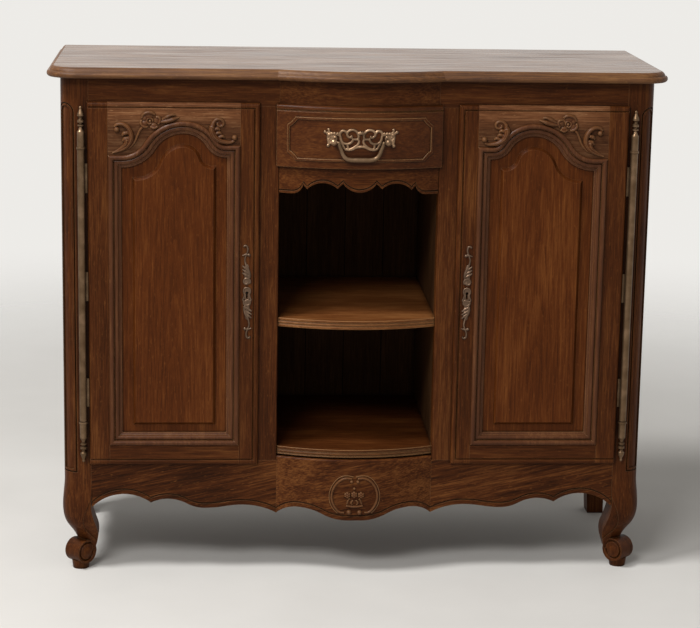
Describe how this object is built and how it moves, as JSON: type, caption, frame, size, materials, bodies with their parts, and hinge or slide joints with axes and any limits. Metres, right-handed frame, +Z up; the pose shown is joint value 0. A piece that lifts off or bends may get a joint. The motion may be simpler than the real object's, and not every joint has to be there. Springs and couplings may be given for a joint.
{
  "type": "credenza",
  "caption": "Dark oak credenza with arched panel doors on rod hinges, a bow-fronted drawer over an open shelved niche, scalloped aprons and scroll feet.",
  "frame": {"origin": "on the floor, under the middle of the box of the whole piece", "axes": "+X along the front from the viewer's left to right, +Y from front to back, +Z up"},
  "size_m": [1.26, 0.4999, 1.058],
  "materials": {
    "oak_frame": "waxed",
    "oak_panel": "waxed",
    "oak_top": "polished",
    "oak_inside": "matte",
    "brass": "aged",
    "steel": "dull"
  },
  "bodies": {
    "carcass": {"top_board": "oak_top", "centre_frieze_rail": "oak_frame", "centre_apron": "oak_frame", "drawer_valance": "oak_frame", "niche_shelf": "oak_frame", "niche_floor": "oak_frame", "niche_ceiling": "oak_inside", "cupboard_floors": "oak_inside", "cupboard_shelves": "oak_inside", "shelf_cleats": "oak_inside", "drawer_runners": "oak_inside", "back_panels": "oak_inside", "back_rails": "oak_inside", "hinge_pins": "steel", "left_front_post": "oak_frame", "left_back_post": "oak_frame", "left_inner_stile": "oak_frame", "left_frieze_rail": "oak_frame", "left_apron": "oak_frame", "left_side_panel": "oak_panel", "left_side_rails": "oak_frame", "left_partition": "oak_inside", "left_hinge_knuckles": "brass", "right_front_post": "oak_frame", "right_back_post": "oak_frame", "right_inner_stile": "oak_frame", "right_frieze_rail": "oak_frame", "right_apron": "oak_frame", "right_side_panel": "oak_panel", "right_side_rails": "oak_frame", "right_partition": "oak_inside", "right_hinge_knuckles": "brass"},
    "left_door": {"left_door_hinge_stile": "oak_frame", "left_door_lock_stile": "oak_frame", "left_door_top_rail": "oak_frame", "left_door_bottom_rail": "oak_frame", "left_door_panel": "oak_panel", "left_door_panel_moulding": "oak_frame", "left_hinge_barrel": "brass", "left_escutcheon": "brass", "left_lock_case": "steel"},
    "right_door": {"right_door_hinge_stile": "oak_frame", "right_door_lock_stile": "oak_frame", "right_door_top_rail": "oak_frame", "right_door_bottom_rail": "oak_frame", "right_door_panel": "oak_panel", "right_door_panel_moulding": "oak_frame", "right_hinge_barrel": "brass", "right_escutcheon": "brass", "right_lock_case": "steel"},
    "left_bolt": {"left_lock_bolt": "steel"},
    "right_bolt": {"right_lock_bolt": "steel"},
    "drawer": {"drawer_front": "oak_panel", "drawer_sides": "oak_inside", "drawer_back": "oak_inside", "drawer_bottom": "oak_inside", "pull_plate": "brass", "pull_posts": "brass"},
    "bail": {"drawer_bail": "brass"}
  },
  "joints": [
    {"name": "left_door_hinge", "type": "hinge", "parent": "carcass", "child": "left_door", "pos_m": [-0.561, -0.197, 0.611], "axis": [0, 0, -1], "range_deg": [0, 170]},
    {"name": "right_door_hinge", "type": "hinge", "parent": "carcass", "child": "right_door", "pos_m": [0.561, -0.197, 0.611], "axis": [0, 0, 1], "range_deg": [0, 170]},
    {"name": "left_bolt_slide", "type": "slide", "parent": "left_door", "child": "left_bolt", "axis": [1, 0, 0], "range_m": [0, 0.009]},
    {"name": "right_bolt_slide", "type": "slide", "parent": "right_door", "child": "right_bolt", "axis": [-1, 0, 0], "range_m": [0, 0.009]},
    {"name": "drawer_slide", "type": "slide", "parent": "carcass", "child": "drawer", "axis": [0, -1, 0], "range_m": [0, 0.3]},
    {"name": "bail_swing", "type": "hinge", "parent": "drawer", "child": "bail", "pos_m": [0, -0.2405, 0.917], "axis": [-1, 0, 0], "range_deg": [0, 170]}
  ]
}
